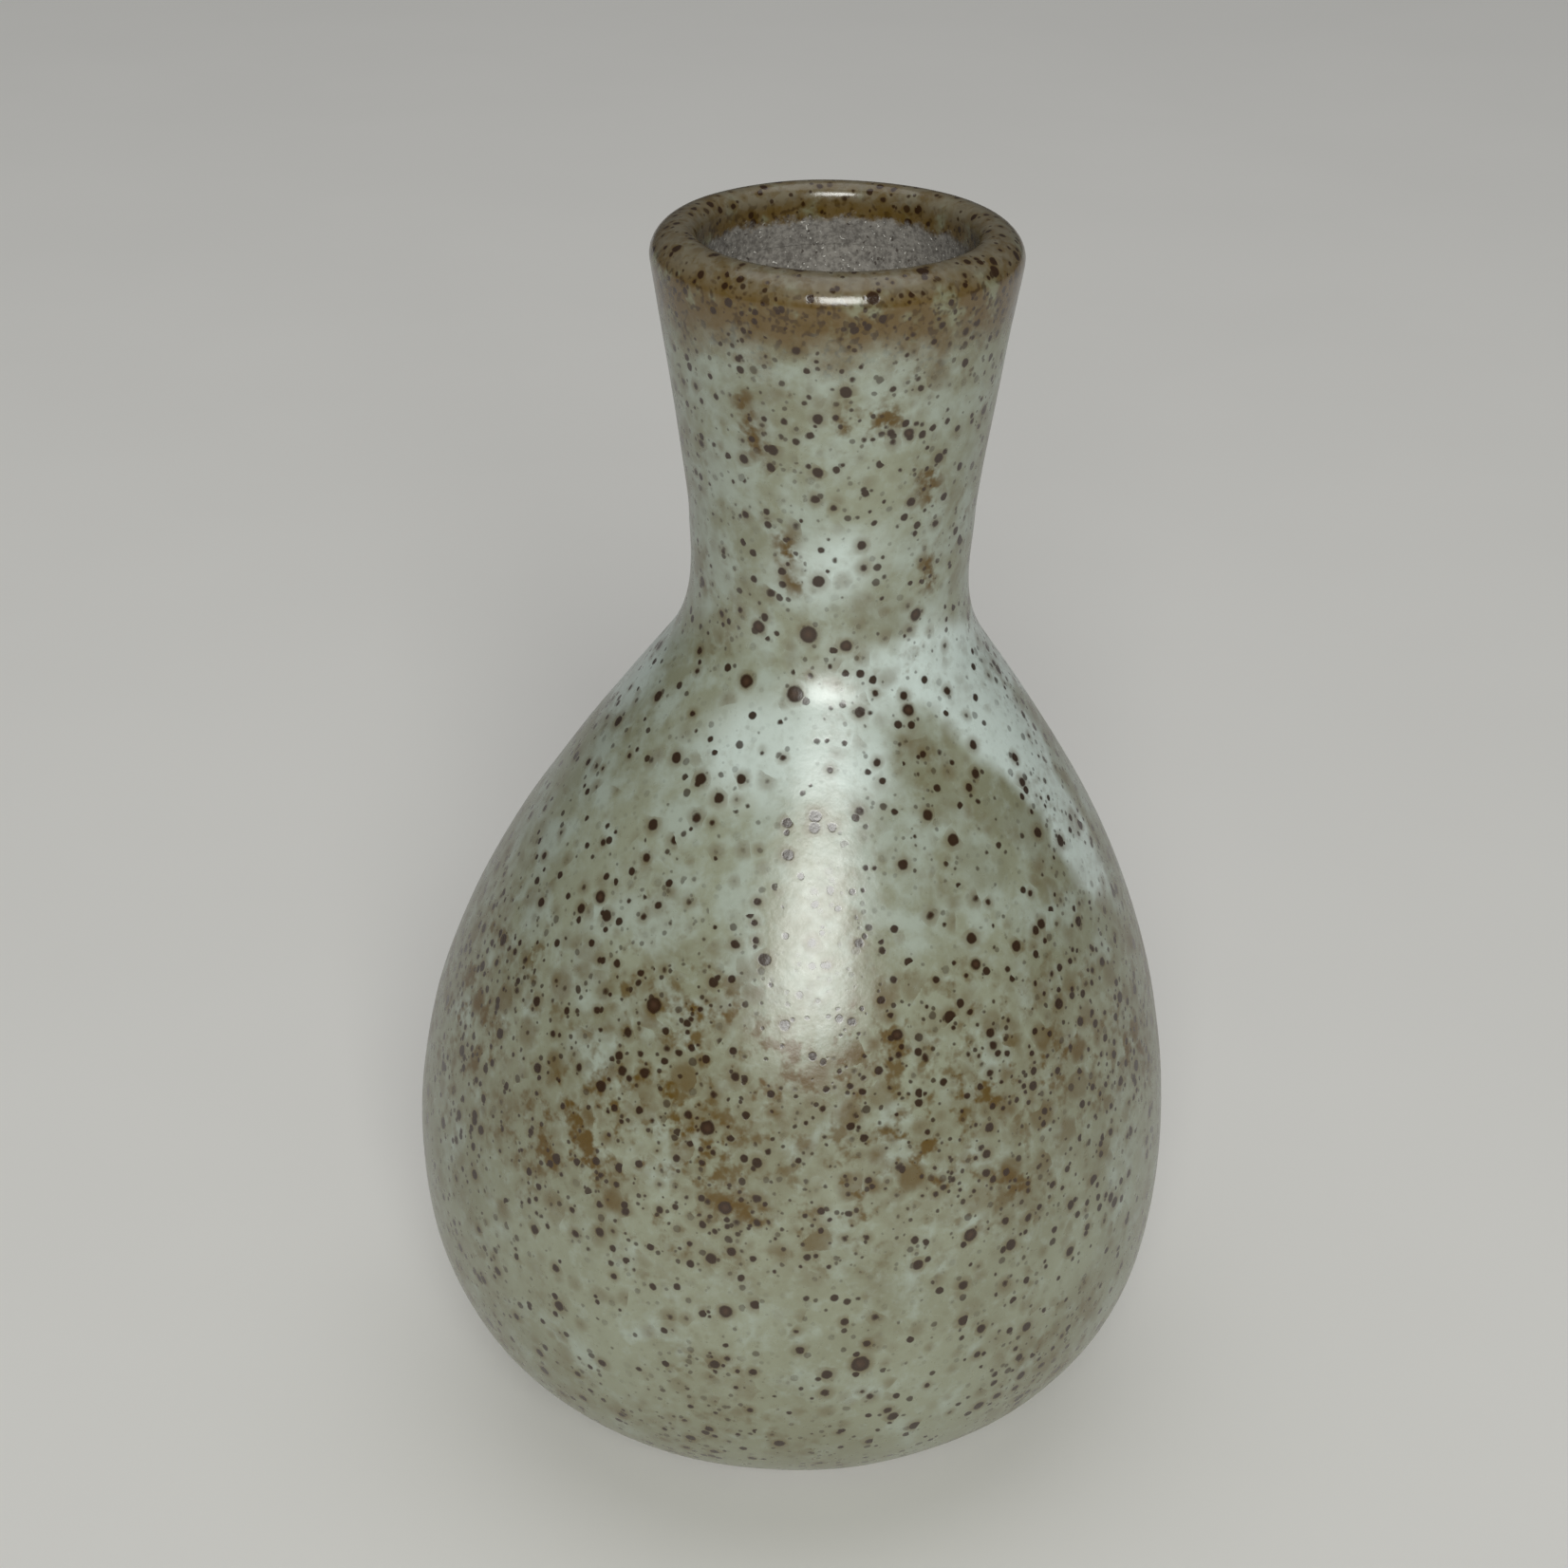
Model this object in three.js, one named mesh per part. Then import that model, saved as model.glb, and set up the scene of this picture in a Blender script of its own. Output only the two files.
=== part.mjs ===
// Speckled stoneware bud vase: a thrown clay body under a coat of celadon glaze.
// Millimetres, +Z up. The origin is under the centre of the belly, on the plane that it stands on.
import * as THREE from "three";

// ---------------------------------------------------------------------------
// Driving dimensions. Those of the outside are of the finished, glazed surface.
// ---------------------------------------------------------------------------
const height = 124;
const lipDiameter = 33.5; // widest ring of the rolled lip
const lipDrop = 2.7; // from the top of the lip down to its widest ring
const lipInnerRound = 1.4; // radius from the top of the lip into the throat
const waistDiameter = 26.5; // narrowest ring of the neck
const neckRootHeight = 13.5; // from the crease up to the waist
const creaseDiameter = 30.7; // where the neck rises out of the shoulder
const creaseHeight = 83.5;
const creaseSlope = 54.7; // degrees that the shoulder stands above the horizontal there
const bellyDiameter = 76;
const bellyHeight = 30; // height of the widest ring
const footDiameter = 43; // where the belly meets the standing plane
const footSlope = 51; // degrees that the belly leaves that plane at

const neckOffset = 3.1; // the hand-thrown neck stands this far off the belly's centre, towards +X
const footOffset = 0.4; // and the foot this far

const glazeThickness = 0.5;
const bondGap = 0.3; // clearance between the glaze and the clay that it covers
const glazeLine = 2.2; // bare clay shows below this height
const throatGlazeDepth = 5.5; // the glaze runs this far down inside the lip
const neckWall = 2.7; // clay alone, in the lip and neck
const bodyWall = 4.4; // clay alone, in the belly
const floorThickness = 6; // from the standing plane up to the middle of the inside
const floorRise = 1.2; // how much higher the floor is where it meets the wall
const footRingWidth = 4;
const footRecess = 1.4; // depth of the hollow inside the foot ring
const footEdge = 0.7; // chamfer round the outside of the foot

// Fullness of each stretch of the outline: handle lengths as a share of the stretch's height
const lowerBelly = [0.34, 0.71];
const shoulder = [0.45, 0.27];
const neckRoot = [0.43, 0.24];
const flare = [0.15, 0.02];

const segments = 48; // round the axis
const steps = { lowerBelly: 8, shoulder: 7, neckRoot: 4, flare: 4, lip: 3 };

const colours = { glaze: 0xa9ab97, clay: 0x8a8178 };

// ---------------------------------------------------------------------------
// The outline: samples, each a point with its outward normal
// ---------------------------------------------------------------------------
const coat = glazeThickness + bondGap;
const waistHeight = creaseHeight + neckRootHeight;
const throatRadius = lipDiameter / 2 - neckWall - 2 * coat;
const up = new THREE.Vector2(0, 1);

function direction(degrees) {
  const angle = THREE.MathUtils.degToRad(degrees);
  return new THREE.Vector2(Math.cos(angle), Math.sin(angle));
}

// A stretch from ring a to ring b, leaving along directionA and arriving along directionB.
function stretch(a, directionA, b, directionB, [shareA, shareB]) {
  const span = b.y - a.y;
  return new THREE.CubicBezierCurve(
    a,
    a.clone().addScaledVector(directionA, span * shareA),
    b.clone().addScaledVector(directionB, -span * shareB),
    b,
  );
}

// Samples of a curve, with the normal on its right-hand side.
function sample(curve, count) {
  return Array.from({ length: count + 1 }, (_, i) => {
    const tangent = curve.getTangent(i / count);
    return { point: curve.getPoint(i / count), normal: new THREE.Vector2(tangent.y, -tangent.x) };
  });
}

function join(...stretches) {
  return stretches.flatMap((samples, i) => (i ? samples.slice(1) : samples));
}

function offset(samples, distance) {
  return samples.map(({ point, normal }) => ({
    point: point.clone().addScaledVector(normal, distance),
    normal,
  }));
}

// The part of a rising row of samples above a height, starting at that height.
function above(samples, z) {
  const i = samples.findIndex(({ point }) => point.y > z);
  const [low, high] = [samples[i - 1], samples[i]];
  const share = (z - low.point.y) / (high.point.y - low.point.y);
  const start = {
    point: low.point.clone().lerp(high.point, share),
    normal: low.normal.clone().lerp(high.normal, share).normalize(),
  };
  return [start, ...samples.slice(i)];
}

const foot = new THREE.Vector2(footDiameter / 2, 0);
const belly = new THREE.Vector2(bellyDiameter / 2, bellyHeight);
const crease = new THREE.Vector2(creaseDiameter / 2, creaseHeight);
const waist = new THREE.Vector2(waistDiameter / 2, waistHeight);
const lip = new THREE.Vector2(lipDiameter / 2, height - lipDrop);
const outOfFoot = direction(footSlope);
const inOverShoulder = direction(180 - creaseSlope);

const outside = join(
  sample(stretch(foot, outOfFoot, belly, up, lowerBelly), steps.lowerBelly),
  sample(stretch(belly, up, crease, inOverShoulder, shoulder), steps.shoulder),
  sample(stretch(crease, inOverShoulder, waist, up, neckRoot), steps.neckRoot),
  sample(stretch(waist, up, lip, up, flare), steps.flare),
);

// The lip rolls over from its widest ring to its top, then into the throat.
function quarter(centre, radii, startAngle) {
  const end = startAngle + Math.PI / 2;
  return sample(new THREE.EllipseCurve(centre.x, centre.y, ...radii, startAngle, end), steps.lip);
}

const lipTop = throatRadius + lipInnerRound;
const throatTop = new THREE.Vector2(lipTop, height - lipInnerRound);
const lipRound = join(
  quarter(new THREE.Vector2(lipTop, lip.y), [lip.x - lipTop, lipDrop], 0),
  quarter(throatTop, [lipInnerRound, lipInnerRound], Math.PI / 2),
);

// The clay's inside, a wall's thickness in from the outside. Its normals point into the hollow.
function clayWall(z) {
  const share = THREE.MathUtils.smoothstep(z, bellyHeight, waistHeight);
  return THREE.MathUtils.lerp(bodyWall, neckWall, share);
}

const inside = outside
  .map(({ point, normal }) => ({
    point: point.clone().addScaledVector(normal, -coat - clayWall(point.y)),
    normal: normal.clone().negate(),
  }))
  .filter(({ point }) => point.y < throatTop.y);

// ---------------------------------------------------------------------------
// Solids of revolution, with each ring slid sideways by the vase's hand-made lean
// ---------------------------------------------------------------------------
function lean(z) {
  const ofFoot = 1 - THREE.MathUtils.smoothstep(z, 0, bellyHeight);
  const ofNeck = THREE.MathUtils.smoothstep(z, bellyHeight, waistHeight);
  return footOffset * ofFoot + neckOffset * ofNeck;
}

function turned(name, profile, material) {
  const geometry = new THREE.LatheGeometry(profile, segments);
  geometry.rotateX(Math.PI / 2); // from a lathe's +Y axis to +Z
  const position = geometry.attributes.position;
  for (let i = 0; i < position.count; i++)
    position.setX(i, position.getX(i) + lean(position.getZ(i)));
  geometry.computeVertexNormals();
  const mesh = new THREE.Mesh(geometry, new THREE.MeshStandardMaterial(material));
  mesh.name = name;
  return mesh;
}

const pointsOf = (samples) => samples.map(({ point }) => point);

// Clay body: foot ring, the wall under the glaze, the lip, and the bare inside and floor.
function clayBody() {
  const outer = above(offset(outside, -coat), footEdge);
  const ring = outer[0].point.x - footEdge;
  const profile = [
    new THREE.Vector2(0, footRecess),
    new THREE.Vector2(ring - footRingWidth - footRecess, footRecess),
    new THREE.Vector2(ring - footRingWidth, 0),
    new THREE.Vector2(ring, 0),
    ...pointsOf(outer),
    ...pointsOf(offset(lipRound, -coat)).slice(1),
    ...pointsOf(above(inside, floorThickness + floorRise)).reverse(),
    new THREE.Vector2(0, floorThickness),
  ];
  return turned("clay_body", profile, { color: colours.clay, roughness: 0.9, metalness: 0 });
}

// Glaze coat: a skin over the outside, over the lip and down the top of the throat.
function glazeCoat() {
  const throat = above(offset(inside, coat), height - throatGlazeDepth).reverse();
  const face = [...above(outside, glazeLine), ...lipRound.slice(1), ...throat];
  const profile = [...pointsOf(face), ...pointsOf(offset(face, -glazeThickness)).reverse()];
  profile.push(profile[0]);
  return turned("glaze_coat", profile, { color: colours.glaze, roughness: 0.4, metalness: 0 });
}

const vase = new THREE.Group();
vase.add(clayBody(), glazeCoat());

export default vase;
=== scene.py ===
"""Speckled stoneware bud vase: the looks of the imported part.

Laid out as a Blender add-on and run as a script.
"""

import math

import bmesh
import bpy
import numpy as np
from mathutils import Matrix, Vector, noise


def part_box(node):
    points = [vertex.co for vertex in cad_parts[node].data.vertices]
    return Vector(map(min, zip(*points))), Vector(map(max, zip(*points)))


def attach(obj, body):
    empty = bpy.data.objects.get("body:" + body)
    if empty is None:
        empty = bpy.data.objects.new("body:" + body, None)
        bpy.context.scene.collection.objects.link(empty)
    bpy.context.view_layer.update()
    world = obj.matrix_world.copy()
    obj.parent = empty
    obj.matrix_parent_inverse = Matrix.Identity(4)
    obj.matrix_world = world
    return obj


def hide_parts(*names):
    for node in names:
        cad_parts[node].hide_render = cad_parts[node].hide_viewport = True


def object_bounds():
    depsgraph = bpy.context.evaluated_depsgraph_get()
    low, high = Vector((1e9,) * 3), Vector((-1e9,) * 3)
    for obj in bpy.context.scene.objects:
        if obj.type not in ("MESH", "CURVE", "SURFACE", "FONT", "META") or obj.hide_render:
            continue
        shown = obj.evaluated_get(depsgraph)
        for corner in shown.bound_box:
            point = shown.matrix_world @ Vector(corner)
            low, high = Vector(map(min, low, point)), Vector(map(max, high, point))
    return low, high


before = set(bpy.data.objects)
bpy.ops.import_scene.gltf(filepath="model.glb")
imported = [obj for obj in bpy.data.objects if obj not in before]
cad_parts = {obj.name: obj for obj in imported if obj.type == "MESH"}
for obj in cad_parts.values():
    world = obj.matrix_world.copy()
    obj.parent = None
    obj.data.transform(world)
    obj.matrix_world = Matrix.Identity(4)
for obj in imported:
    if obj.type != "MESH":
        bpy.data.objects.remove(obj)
CAD_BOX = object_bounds()
GLAZE_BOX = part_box("glaze_coat")

bl_info = {
    "name": "Stoneware bud vase",
    "version": (1, 0, 0),
    "blender": (4, 5, 0),
    "location": "View3D > Sidebar > Bud vase",
    "description": "Builds a glazed, speckled stoneware bud vase around its packed model",
    "category": "Object",
}

MM = 0.001
NOT_SETTINGS = ("rna_type", "name")  # what every group of settings also lists
GLAZE_TOP = GLAZE_BOX[1].z
BELLY_DIAMETER = GLAZE_BOX[1].y - GLAZE_BOX[0].y
GLAZE_LINE = GLAZE_BOX[0].z


# ---------------------------------------------------------------------------
# Colours
# ---------------------------------------------------------------------------
def linear(hex_colour):
    """An sRGB hex value such as "a9ab97" as linear RGBA."""
    parts = [int(hex_colour[i : i + 2], 16) / 255 for i in (0, 2, 4)]
    return [c / 12.92 if c <= 0.04045 else ((c + 0.055) / 1.055) ** 2.4 for c in parts] + [1.0]


def colour_setting(name, description, hex_colour):
    return bpy.props.FloatVectorProperty(
        name=name,
        description=description,
        subtype="COLOR",
        size=4,
        min=0,
        max=1,
        default=linear(hex_colour),
    )


def length_setting(name, description, millimetres, least=0):
    return bpy.props.FloatProperty(
        name=name,
        description=description,
        default=millimetres * MM,
        min=least,
        unit="LENGTH",
        subtype="DISTANCE",
        precision=5,
    )


def angle_setting(name, description, degrees):
    return bpy.props.FloatProperty(
        name=name, description=description, default=math.radians(degrees), subtype="ANGLE"
    )


def power_setting(name, description, watts):
    return bpy.props.FloatProperty(name=name, description=description, default=watts, min=0)


# ---------------------------------------------------------------------------
# Settings
# ---------------------------------------------------------------------------
class VaseShapeSettings(bpy.types.PropertyGroup):
    """Sizes of the finished, glazed outside, and of the clay inside it"""

    height: length_setting("Height", "Foot to the top of the lip", GLAZE_TOP / MM)
    lip_diameter: length_setting("Lip", "Widest ring of the rolled lip", 33.5)
    lip_drop: length_setting("Lip drop", "Top of the lip down to its widest ring", 2.7)
    lip_inner_round: length_setting("Lip inner round", "Radius from the lip into the throat", 1.4)
    waist_diameter: length_setting("Waist", "Narrowest ring of the neck", 26.5)
    waist_height: length_setting("Waist height", "Height of that ring", 97)
    crease_diameter: length_setting("Crease", "Where the neck rises out of the shoulder", 30.7)
    crease_height: length_setting("Crease height", "Height of that crease", 83.5)
    belly_diameter: length_setting("Belly", "Widest ring", BELLY_DIAMETER / MM)
    belly_height: length_setting("Belly height", "Height of the widest ring", 30)
    foot_diameter: length_setting("Foot", "Where the belly meets the table", 43)
    neck_offset: length_setting("Neck offset", "How far the neck stands towards +X", 3.1)
    foot_offset: length_setting("Foot offset", "How far the foot stands towards +X", 0.4)
    neck_wall: length_setting("Neck wall", "Whole wall in the lip and neck", 4.3)
    body_wall: length_setting("Body wall", "Whole wall in the belly", 5.2)
    glaze_thickness: length_setting("Glaze", "Thickness of the coat", 0.5)
    glaze_line: length_setting("Glaze line", "Bare clay shows below this", GLAZE_LINE / MM)
    throat_glaze: length_setting("Throat glaze", "How far the coat runs down inside the lip", 5.5)
    floor_thickness: length_setting("Floor", "Table to the middle of the inside", 6)
    foot_ring_width: length_setting("Foot ring", "Width of the ring that it stands on", 4)
    foot_recess: length_setting("Foot recess", "Depth of the hollow inside the ring", 1.4)
    thrown_wave: length_setting("Thrown wave", "Height of the soft unevenness left by hands", 0.14)


class GlazeSettings(bpy.types.PropertyGroup):
    """Colours of the celadon glaze, and a painted sheen on its lip"""

    celadon: colour_setting("Celadon", "The glaze where it is even", "8f927d")
    milky: colour_setting("Milky celadon", "Where it pooled a little thicker", "a7b1a6")
    pooled: colour_setting("Pooled celadon", "Where it ran and stayed thickest", "ccd8d2")
    olive: colour_setting("Olive celadon", "Where it is thin and dull", "77765d")
    rust: colour_setting("Rust", "Iron that bled out into the glaze", "59430e")
    lip_brown: colour_setting("Lip brown", "Where the glaze broke thin over the lip", "655230")
    lip_pale: colour_setting("Lip green", "Where a thicker patch stayed on the lip", "85886f")
    # painted reflection: the grey sheen of light grazing the top of the lip
    lip_painted_sheen: colour_setting("Lip grey", "The thinnest glaze, on top of the lip", "7b7564")
    iron: colour_setting("Iron", "The specks themselves", "2e1b0b")
    iron_heart: colour_setting("Iron heart", "The paler middle of the largest spots", "5a4130")


class ClaySettings(bpy.types.PropertyGroup):
    """Colours of the bare fired clay"""

    body: colour_setting("Clay", "Grey reduced stoneware", "8a857e")
    shade: colour_setting("Clay between the grains", "Darker ground of the clay", "5f5a54")
    sand: colour_setting("Sand", "Pale quartz grains", "d8d4cc")
    dark: colour_setting("Dark grit", "Iron grains in the clay", "352b24")


class StudioSettings(bpy.types.PropertyGroup):
    """Camera, lights and floor"""

    view_azimuth: angle_setting("Azimuth", "Camera's bearing, towards +X", 1.0)
    view_elevation: angle_setting("Elevation", "Camera's height as an angle", 27.6)
    view_roll: angle_setting("Roll", "Camera's roll", 0.64)
    view_distance: length_setting("Distance", "Camera to the point that it looks at", 278)
    aim_height: length_setting("Aim height", "Height of the point that it looks at", 68)
    aim_side: length_setting("Aim side", "Sideways place of that point, towards +X", -1.1, least=-1)
    focal_length: bpy.props.FloatProperty(
        name="Focal length", description="Of the lens, in millimetres", default=65.4, min=10
    )
    key_power: power_setting("Key light", "Soft light just over the camera, in watts", 15.5)
    overhead_power: power_setting("Overhead light", "Wide light from above, in watts", 19)
    floor_colour: colour_setting("Floor", "Plain pale floor", "eeece8")
    floor_shade: colour_setting("Floor shade", "Its faint mottling", "c8c7c3")


# ---------------------------------------------------------------------------
# Outline of the vase, in millimetres
# ---------------------------------------------------------------------------
FOOT_SLOPE, CREASE_SLOPE = 51.0, 54.7  # degrees above the horizontal
LOWER_BELLY, SHOULDER, NECK_ROOT, FLARE = (0.34, 0.71), (0.45, 0.27), (0.43, 0.24), (0.15, 0.02)
RING_SPACING = 0.5
LIP_CLEARANCE = 0.2  # the inside starts this far under the lip's round, so that they join smoothly
GLAZE_SEGMENTS, CLAY_SEGMENTS = 256, 192
SHARP_ANGLE = 50  # degrees: an edge that turns more stays crisp


def smoothstep(x, low, high):
    t = np.clip((np.asarray(x, float) - low) / (high - low), 0, 1)
    return t * t * (3 - 2 * t)


def direction(degrees):
    return np.array([math.cos(math.radians(degrees)), math.sin(math.radians(degrees))])


def stretch(a, direction_a, b, direction_b, shares, count=120):
    """A cubic Bezier curve from ring a to ring b; its handles are shares of the height between them."""
    span = b[1] - a[1]
    handle_a, handle_b = a + direction_a * span * shares[0], b - direction_b * span * shares[1]
    t = np.linspace(0, 1, count)[:, None]
    return (
        (1 - t) ** 3 * a
        + 3 * (1 - t) ** 2 * t * handle_a
        + 3 * (1 - t) * t**2 * handle_b
        + t**3 * b
    )


def quarter(centre, radii, start, count=40):
    angle = np.linspace(start, start + math.pi / 2, count)
    return np.column_stack(
        [centre[0] + radii[0] * np.cos(angle), centre[1] + radii[1] * np.sin(angle)]
    )


def respaced(line, spacing):
    """The same line with its points evenly spaced."""
    along = np.concatenate([[0], np.cumsum(np.hypot(*np.diff(line, axis=0).T))])
    count = max(2, int(round(along[-1] / spacing)) + 1)
    at = np.linspace(0, along[-1], count)
    return np.column_stack([np.interp(at, along, line[:, 0]), np.interp(at, along, line[:, 1])])


def normals(line):
    """Normals on the right-hand side of a line."""
    tangent = np.gradient(line, axis=0)
    tangent /= np.hypot(*tangent.T)[:, None]
    return np.column_stack([tangent[:, 1], -tangent[:, 0]])


class Outline:
    """The vase's section, worked out from the settings, in millimetres."""

    def __init__(self, shape):
        names = [key for key in shape.bl_rna.properties.keys() if key not in NOT_SETTINGS]
        s = self.size = {key: getattr(shape, key) / MM for key in names}
        foot = np.array([s["foot_diameter"] / 2, 0])
        belly = np.array([s["belly_diameter"] / 2, s["belly_height"]])
        crease = np.array([s["crease_diameter"] / 2, s["crease_height"]])
        waist = np.array([s["waist_diameter"] / 2, s["waist_height"]])
        lip = np.array([s["lip_diameter"] / 2, s["height"] - s["lip_drop"]])
        up, over = np.array([0.0, 1.0]), direction(180 - CREASE_SLOPE)
        outside = np.vstack(
            [
                stretch(foot, direction(FOOT_SLOPE), belly, up, LOWER_BELLY),
                stretch(belly, up, crease, over, SHOULDER)[1:],
                stretch(crease, over, waist, up, NECK_ROOT)[1:],
                stretch(waist, up, lip, up, FLARE)[1:],
            ]
        )
        self.outside = respaced(outside, RING_SPACING / 2)
        throat = s["lip_diameter"] / 2 - s["neck_wall"]
        inner = s["lip_inner_round"]
        top = throat + inner
        self.lip = np.vstack(
            [
                quarter((top, lip[1]), (lip[0] - top, s["lip_drop"]), 0),
                quarter((top, s["height"] - inner), (inner, inner), math.pi / 2)[1:],
            ]
        )
        z = self.outside[:, 1]
        share = smoothstep(z, s["belly_height"], s["waist_height"])
        wall = s["body_wall"] + (s["neck_wall"] - s["body_wall"]) * share
        inside = self.outside - normals(self.outside) * wall[:, None]
        below_lip = inside[:, 1] < s["height"] - inner - LIP_CLEARANCE
        self.inside = inside[below_lip][::-1]

    def lean(self, z):
        """Sideways place of the ring at height z, towards +X."""
        s = self.size
        of_foot = 1 - smoothstep(z, 0, s["belly_height"])
        of_neck = smoothstep(z, s["belly_height"], s["waist_height"])
        return s["foot_offset"] * of_foot + s["neck_offset"] * of_neck

    def point(self, angle, height):
        """The point of the glazed outside at an angle in degrees, -90 facing front, and a height."""
        radius = float(np.interp(height, self.outside[:, 1], self.outside[:, 0]))
        turn = math.radians(angle)
        return Vector(
            (float(self.lean(height)) + radius * math.cos(turn), radius * math.sin(turn), height)
        )


# ---------------------------------------------------------------------------
# Turned meshes
# ---------------------------------------------------------------------------
def turned_mesh(name, section, outline, segments, closed=True, displace=None):
    """A solid of revolution from a section in millimetres. Ends on the axis where the section does."""
    angles = np.linspace(0, 2 * math.pi, segments, endpoint=False)
    on_axis = section[:, 0] < 1e-6
    vertices, rings = [], []
    line_normals = normals(np.vstack([section[-1:], section, section[:1]]))[1:-1]
    for (radius, z), normal, axis in zip(section, line_normals, on_axis):
        shift = float(outline.lean(z))
        if axis:
            rings.append([len(vertices)])
            vertices.append((shift * MM, 0, z * MM))
            continue
        rings.append(list(range(len(vertices), len(vertices) + segments)))
        for angle in angles:
            c, s = math.cos(angle), math.sin(angle)
            place = Vector((shift + radius * c, radius * s, z))
            if displace:
                place += displace(place) * Vector((normal[0] * c, normal[0] * s, normal[1]))
            vertices.append(place * MM)
    faces = []
    pairs = list(zip(rings, rings[1:])) + ([(rings[-1], rings[0])] if closed else [])
    for low, high in pairs:
        if len(low) == 1 and len(high) == 1:
            continue
        for i in range(segments):
            j = (i + 1) % segments
            if len(low) == 1:
                faces.append((low[0], high[j], high[i]))
            elif len(high) == 1:
                faces.append((low[i], low[j], high[0]))
            else:
                faces.append((low[i], low[j], high[j], high[i]))
    mesh = bpy.data.meshes.new(name)
    mesh.from_pydata(vertices, [], faces)
    mesh.update()
    mesh.polygons.foreach_set("use_smooth", np.ones(len(mesh.polygons), bool))
    mesh.set_sharp_from_angle(angle=math.radians(SHARP_ANGLE))
    piece = bpy.data.objects.new(name, mesh)
    bpy.context.scene.collection.objects.link(piece)
    return piece


def thrown_wave(height):
    """Soft unevenness of a hand-thrown wall, in millimetres along the normal.

    Slow swells about 20 mm long, with quicker ones under half as high on them.
    """

    def at(place):
        slow = noise.noise(Vector((place.x / 22, place.y / 22, place.z / 15 + 3.1)))
        quick = noise.noise(Vector((place.x / 9 + 7.7, place.y / 9, place.z / 6.5)))
        return height * (slow + 0.45 * quick)

    return at


# ---------------------------------------------------------------------------
# Material nodes
# ---------------------------------------------------------------------------
# Patterns run in millimetres of the vase: a Scale is 1 over a pattern's size, and a W is its seed
COLOUR = {"data_type": "RGBA"}
SMOOTH = {"interpolation_type": "SMOOTHSTEP"}
NOISE = {"noise_dimensions": "4D"}


def add(tree, kind, inputs=(), output=0, **settings):
    """Adds a node with its settings, links or sets its inputs by name or in order, returns an output."""
    node = tree.nodes.new("ShaderNode" + kind)
    for key, value in settings.items():
        setattr(node, key, value)
    in_use = [socket for socket in node.inputs if socket.enabled]
    for key, value in inputs.items() if isinstance(inputs, dict) else enumerate(inputs):
        socket = node.inputs[key] if isinstance(key, str) else in_use[key]
        if isinstance(value, bpy.types.NodeSocket):
            tree.links.new(value, socket)
        else:
            socket.default_value = value
    return [socket for socket in node.outputs if socket.enabled][output]


def new_material(name):
    """A material, its tree, its shader's inputs, and the place in millimetres that patterns run in."""
    material = bpy.data.materials.new(name)
    material.use_nodes = True
    tree = material.node_tree
    place = add(tree, "TexCoord", output=3)
    place = add(tree, "VectorMath", [place, 1 / MM], operation="SCALE")
    return material, tree, tree.nodes["Principled BSDF"].inputs, place


def specks(tree, place, cell, smallest, largest, share, soft):
    """Round specks, one to a cell in a share of the cells: their cores, their halos and their tones.

    The cell, the speck's diameter from smallest to largest and its soft edge are in millimetres.
    """
    cells = {"Vector": place, "Scale": 1 / cell, "Randomness": 1.0}
    distance = add(tree, "TexVoronoi", cells)
    distance = add(tree, "Math", [distance, cell], operation="MULTIPLY")
    random = add(tree, "TexVoronoi", cells, output=1)
    chosen = add(tree, "SeparateColor", [random])
    tone = add(tree, "SeparateColor", [random], output=1)
    present = add(tree, "Math", [chosen, 1 - share], operation="GREATER_THAN")
    radius = add(tree, "MapRange", [chosen, 1 - share, 1.0, smallest / 2, largest / 2], **SMOOTH)
    inner = add(tree, "Math", [radius, soft], operation="SUBTRACT")
    outer = add(tree, "Math", [radius, soft], operation="ADD")
    core = add(tree, "MapRange", [distance, inner, outer, 1.0, 0.0], **SMOOTH)
    wide = add(tree, "Math", [radius, 2.2, 0.25], operation="MULTIPLY_ADD")
    halo = add(tree, "MapRange", [distance, inner, wide, 1.0, 0.0], **SMOOTH)
    core = add(tree, "Math", [core, present], operation="MULTIPLY")
    halo = add(tree, "Math", [halo, present], operation="MULTIPLY")
    return core, halo, tone


def chain(tree, operation, *values):
    """Any number of values brought to one by an operation that takes two."""
    result = values[0]
    for value in values[1:]:
        result = add(tree, "Math", [result, value], operation=operation)
    return result


def stirred(tree, place, size, amount, seed):
    """The place moved about at random by up to amount millimetres, in swirls of a given size."""
    swirl = {"Vector": place, "W": seed, "Scale": 1 / size, "Detail": 2.0}
    swirl = add(tree, "TexNoise", swirl, output=1, **NOISE)
    swirl = add(tree, "VectorMath", [swirl, (0.5, 0.5, 0.5)], operation="SUBTRACT")
    return add(tree, "VectorMath", [swirl, (2 * amount,) * 3, place], operation="MULTIPLY_ADD")


def marks(tree, place, outline, lines, edge):
    """Soft marks on the outside: each from (angle, height) to (angle, height), with a radius."""
    found = []
    for start, end, radius in lines:
        start, end = outline.point(*start), outline.point(*end)
        axis = end - start
        from_start = add(tree, "VectorMath", [place, start], operation="SUBTRACT")
        along = [from_start, axis / max(axis.length_squared, 1e-6)]
        along = add(tree, "VectorMath", along, operation="DOT_PRODUCT")
        along = add(tree, "Math", [along, 0.0], operation="ADD", use_clamp=True)
        nearest = add(tree, "VectorMath", [axis, along], operation="SCALE")
        distance = add(tree, "VectorMath", [from_start, nearest], operation="DISTANCE")
        found.append(add(tree, "MapRange", [distance, radius, radius + edge, 1.0, 0.0], **SMOOTH))
    return chain(tree, "MAXIMUM", *found)


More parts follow.
